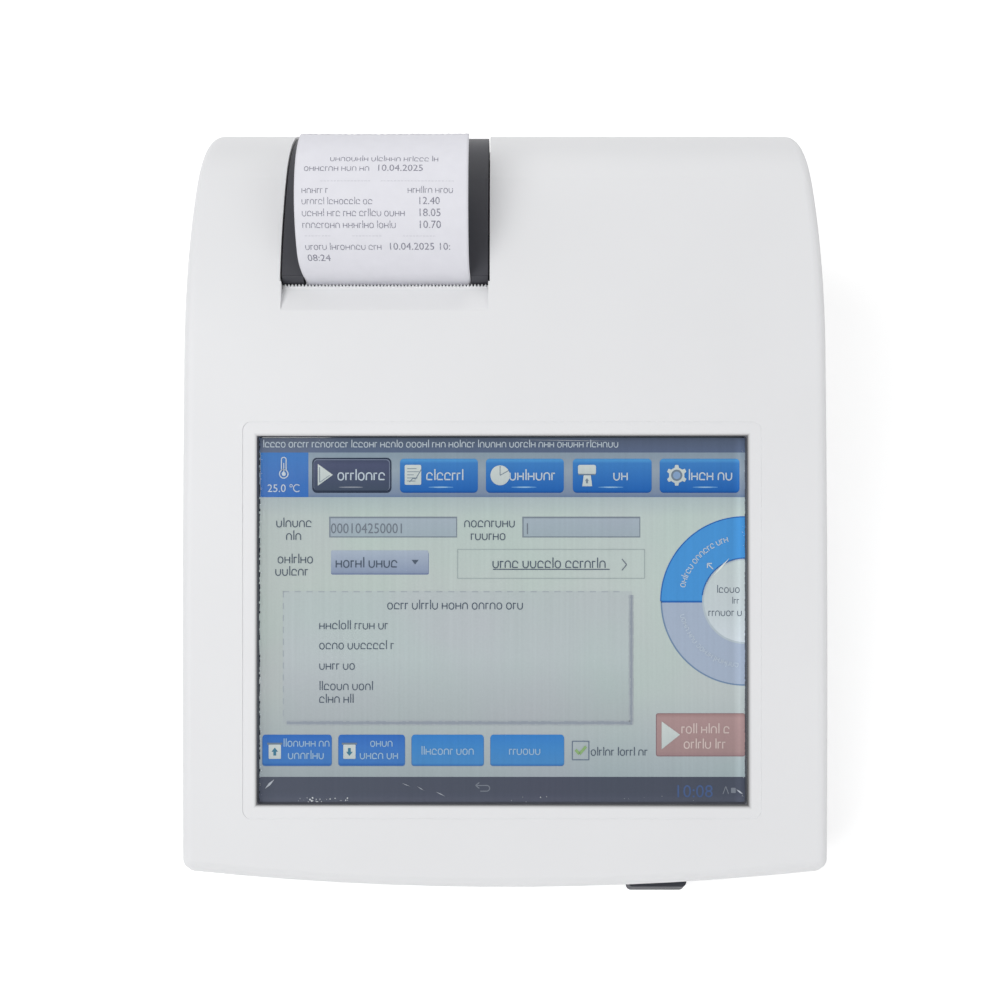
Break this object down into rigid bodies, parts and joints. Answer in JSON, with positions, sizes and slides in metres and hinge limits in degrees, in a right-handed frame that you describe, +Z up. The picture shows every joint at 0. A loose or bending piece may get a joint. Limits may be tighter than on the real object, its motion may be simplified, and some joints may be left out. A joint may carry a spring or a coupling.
{
  "type": "immunoassay analyzer",
  "caption": "Desktop immunoassay analyzer: white sloped casing with a touch screen, a hinged printer lid with a receipt curling out, and a motor-driven cartridge tray under the chin",
  "frame": {"origin": "middle of the footprint, at the bottom of the rubber feet", "axes": "+X to the right as seen by the user, +Y from the user to the rear, +Z up"},
  "size_m": [0.216, 0.263, 0.1596],
  "materials": {
    "case_plastic": "satin",
    "dark_plastic": "satin",
    "tray_plastic": "satin",
    "frame_plastic": "matte",
    "gear_plastic": "satin",
    "rubber": "matte",
    "screen": "gloss",
    "display": "satin",
    "steel": "satin",
    "aluminium": "satin",
    "ceramic": "gloss",
    "brass": "satin",
    "paper": "matte",
    "cardboard": "matte",
    "circuit_board": "satin",
    "ribbon": "satin",
    "optical_glass": "gloss",
    "filter_glass": "gloss",
    "mirror": "gloss",
    "rocker_plastic": "gloss"
  },
  "bodies": {
    "casing": {"upper_cover": "case_plastic", "lower_case": "case_plastic", "case_screws": "steel", "rubber_feet": "rubber", "display_gasket": "rubber", "touch_panel": "screen", "lcd_module": "display", "lcd_bracket": "steel", "lcd_screws": "steel", "lid_hinge_pin": "steel", "tear_bar": "steel", "printer_frame": "frame_plastic", "printer_screws": "steel", "head_pivot_pin": "steel", "head_springs": "steel", "printer_motor": "steel", "paper_web": "paper", "guide_rods": "steel", "transport_base": "frame_plastic", "transport_cover": "steel", "tray_motor": "steel", "position_sensors": "dark_plastic", "tray_bezel": "dark_plastic", "optics_housing": "frame_plastic", "objective_lens": "optical_glass", "dichroic_mirror": "mirror", "emission_filter": "filter_glass", "uv_led": "optical_glass", "detector_board": "circuit_board", "main_board": "circuit_board", "board_standoffs": "brass", "board_screws": "steel", "board_components": "dark_plastic", "capacitors": "aluminium", "coin_cell": "aluminium", "usb_ports": "steel", "network_port": "steel", "serial_port": "dark_plastic", "power_inlet": "dark_plastic", "power_switch_body": "dark_plastic", "id_chip_socket": "dark_plastic", "display_ribbon": "ribbon", "printer_ribbon": "ribbon"},
    "tray": {"tray": "tray_plastic", "tray_rack": "tray_plastic"},
    "rack_pinion": {"rack_pinion": "gear_plastic"},
    "tray_pinion": {"tray_motor_pinion": "brass"},
    "printer_lid": {"printer_lid": "dark_plastic", "platen_bushings": "gear_plastic", "paper_strip": "paper"},
    "platen": {"platen_roller": "rubber", "platen_shaft": "steel", "platen_gear": "gear_plastic"},
    "idler": {"idler_gear": "gear_plastic"},
    "printer_pinion": {"printer_motor_pinion": "brass"},
    "print_head": {"thermal_head": "ceramic", "head_heat_sink": "aluminium"},
    "paper_roll": {"paper_roll": "paper", "paper_core": "cardboard"},
    "power_rocker": {"power_rocker": "rocker_plastic"}
  },
  "joints": [
    {"name": "tray_slide", "type": "slide", "parent": "casing", "child": "tray", "axis": [0, -1, 0], "range_m": [0, 0.075]},
    {"name": "rack_pinion_spin", "type": "hinge", "parent": "casing", "child": "rack_pinion", "pos_m": [0.0801, -0.02325, 0.02525], "axis": [0, 0, 1], "range_deg": [0, 429.92]},
    {"name": "tray_motor_spin", "type": "hinge", "parent": "casing", "child": "tray_pinion", "pos_m": [0.0801, -0.0403, 0.02525], "axis": [0, 0, 1], "range_deg": [-614.18, 0]},
    {"name": "lid_hinge", "type": "hinge", "parent": "casing", "child": "printer_lid", "pos_m": [-0.0402, 0.12286, 0.11014], "axis": [-1, 0, 0], "range_deg": [0, 75]},
    {"name": "platen_spin", "type": "hinge", "parent": "printer_lid", "child": "platen", "pos_m": [-0.0402, 0.05679, 0.12159], "axis": [-1, 0, 0], "continuous": true},
    {"name": "idler_spin", "type": "hinge", "parent": "casing", "child": "idler", "pos_m": [-0.0072, 0.05422, 0.10676], "axis": [-1, 0, 0], "continuous": true},
    {"name": "printer_motor_spin", "type": "hinge", "parent": "casing", "child": "printer_pinion", "pos_m": [-0.0072, 0.05422, 0.09351], "axis": [-1, 0, 0], "continuous": true},
    {"name": "paper_roll_spin", "type": "hinge", "parent": "casing", "child": "paper_roll", "pos_m": [-0.0402, 0.091, 0.1003], "axis": [-1, 0, 0], "continuous": true},
    {"name": "print_head_pivot", "type": "hinge", "parent": "casing", "child": "print_head", "pos_m": [-0.0402, 0.04746, 0.10871], "axis": [1, 0, 0], "range_deg": [0, 2]},
    {"name": "power_rocker_tilt", "type": "hinge", "parent": "casing", "child": "power_rocker", "pos_m": [0.072, 0.1238, 0.025], "axis": [0, 0, 1], "range_deg": [0, 16]}
  ],
  "couplings": [
    {"joint": "rack_pinion_spin", "follows": "tray_slide", "rad_per_m": 100},
    {"joint": "tray_motor_spin", "follows": "tray_slide", "rad_per_m": -142.86},
    {"joint": "platen_spin", "follows": "paper_roll_spin", "ratio": 4},
    {"joint": "idler_spin", "follows": "paper_roll_spin", "ratio": -2.6667},
    {"joint": "printer_motor_spin", "follows": "paper_roll_spin", "ratio": 5.7143}
  ]
}
